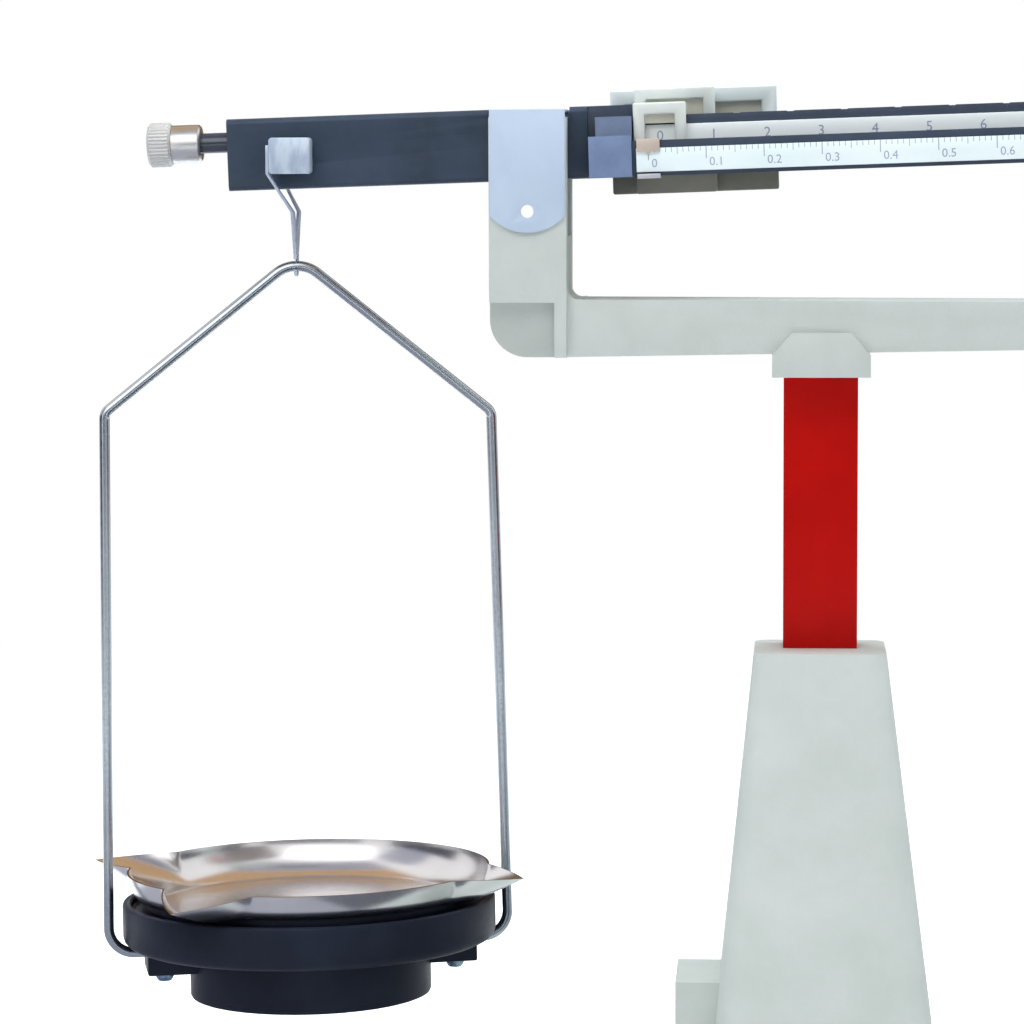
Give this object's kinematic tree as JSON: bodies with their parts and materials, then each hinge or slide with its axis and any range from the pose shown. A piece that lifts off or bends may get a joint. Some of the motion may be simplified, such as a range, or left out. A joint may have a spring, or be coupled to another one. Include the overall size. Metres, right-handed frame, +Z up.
{
  "type": "quadruple beam balance",
  "caption": "Lab beam balance: wire bow with a round pan hanging at the left, parallel notched beams with sliding poises and a rider at the right, on a yoke, a red column and a cast base.",
  "frame": {"origin": "middle of the overall length and depth, on the bench under the feet; the plane of the beam is Y = 0", "axes": "+X along the beams from the hanging pan to the index post, +Y from the front with the scales to the back, +Z up"},
  "size_m": [0.3581, 0.14, 0.2983],
  "materials": {
    "casting_enamel": "pale grey textured enamel on a casting",
    "sheet_zinc": "zinc-plated sheet",
    "foot_rubber": "black rubber",
    "screw_zinc": "bluish zinc plating",
    "column_red": "glossy red enamel",
    "bearing_steel": "ground hard steel",
    "cover_sheet": "smooth pale blue-grey sheet",
    "index_white": "white scale with dark marks",
    "magnet_grey": "dull grey magnet",
    "beam_enamel": "slate-blue enamel on a casting",
    "scale_white": "white printed scale",
    "vane_aluminium": "plain aluminium",
    "pointer_black": "black paint",
    "rod_dark": "black oxide, satin",
    "adjuster_nickel": "turned and nickel-plated",
    "poise_beige": "off-white enamel",
    "weight_grey": "grey enamel",
    "small_poise_beige": "off-white enamel",
    "roller_steel": "ground steel",
    "rider_steel": "thin bronzed sheet",
    "stirrup_steel": "pressed and plated sheet",
    "bow_steel": "bright drawn wire",
    "support_black": "black moulding, satin",
    "ballast_iron": "raw iron",
    "pan_steel": "polished stainless steel"
  },
  "bodies": {
    "base": {"base_housing": "casting_enamel", "bottom_plate": "sheet_zinc", "rubber_feet": "foot_rubber", "base_screws": "screw_zinc", "column": "column_red", "column_screws": "screw_zinc", "yoke": "casting_enamel", "yoke_screws": "screw_zinc", "front_bearing": "bearing_steel", "rear_bearing": "bearing_steel", "bearing_cover": "cover_sheet", "index_plate": "index_white", "damper_magnets": "magnet_grey"},
    "beam": {"beam_casting": "beam_enamel", "fulcrum_knife": "bearing_steel", "pan_knife": "bearing_steel", "front_scale_plate": "scale_white", "second_scale_plate": "scale_white", "third_scale_plate": "scale_white", "rear_scale_plate": "scale_white", "damper_vane": "vane_aluminium", "pointer": "pointer_black", "zero_rod": "rod_dark"},
    "adjuster_sleeve": {"zero_sleeve": "adjuster_nickel"},
    "adjuster_knob": {"zero_knob": "adjuster_nickel"},
    "poise_200": {"poise_200_cover": "poise_beige", "poise_200_weight": "weight_grey", "poise_200_roller": "roller_steel"},
    "poise_100": {"poise_100_cover": "poise_beige", "poise_100_weight": "weight_grey", "poise_100_roller": "roller_steel"},
    "poise_10": {"poise_10_body": "small_poise_beige", "poise_10_roller": "roller_steel"},
    "rider_clip": {"rider": "rider_steel"},
    "stirrup": {"stirrup_strap": "stirrup_steel", "front_pan_bearing": "stirrup_steel", "rear_pan_bearing": "stirrup_steel"},
    "bow": {"bow_wire": "bow_steel", "pan_support": "support_black", "support_ballast": "ballast_iron", "support_cover": "support_black", "lug_screws": "screw_zinc"},
    "weighing_pan": {"pan": "pan_steel"}
  },
  "joints": [
    {"name": "beam_tilt", "type": "hinge", "parent": "base", "child": "beam", "pos_m": [-0.0566, 0, 0.283], "axis": [0, 1, 0], "range_deg": [0, 3.6]},
    {"name": "stirrup_swing", "type": "hinge", "parent": "beam", "child": "stirrup", "pos_m": [-0.12017, 0, 0.281], "axis": [0, 1, 0], "range_deg": [-3.6, 0]},
    {"name": "bow_swing", "type": "hinge", "parent": "stirrup", "child": "bow", "pos_m": [-0.12017, 0, 0.25], "axis": [0.9743, 0.225, 0.0111], "range_deg": [-6, 6]},
    {"name": "pan_lift", "type": "slide", "parent": "bow", "child": "weighing_pan", "axis": [-0.0172, 0.0255, 0.9995], "range_m": [0, 0.03]},
    {"name": "zero_travel", "type": "slide", "parent": "beam", "child": "adjuster_sleeve", "axis": [0.9995, 0, 0.0314], "range_m": [-0.0028, 0.0028]},
    {"name": "zero_turn", "type": "hinge", "parent": "adjuster_sleeve", "child": "adjuster_knob", "pos_m": [-0.15364, 0, 0.28275], "axis": [0.9995, 0, 0.0314], "range_deg": [-1441, 1441]},
    {"name": "poise_200_slide", "type": "slide", "parent": "beam", "child": "poise_200", "axis": [0.9995, 0, 0.0314], "range_m": [0, 0.142]},
    {"name": "poise_100_slide", "type": "slide", "parent": "beam", "child": "poise_100", "axis": [0.9995, 0, 0.0314], "range_m": [0, 0.142]},
    {"name": "poise_10_slide", "type": "slide", "parent": "beam", "child": "poise_10", "axis": [0.9995, 0, 0.0314], "range_m": [0, 0.142]},
    {"name": "rider_slide", "type": "slide", "parent": "beam", "child": "rider_clip", "axis": [0.9995, 0, 0.0314], "range_m": [0, 0.1518]}
  ],
  "couplings": [
    {"joint": "stirrup_swing", "follows": "beam_tilt", "ratio": -1},
    {"joint": "zero_turn", "follows": "zero_travel", "rad_per_m": 8976}
  ]
}
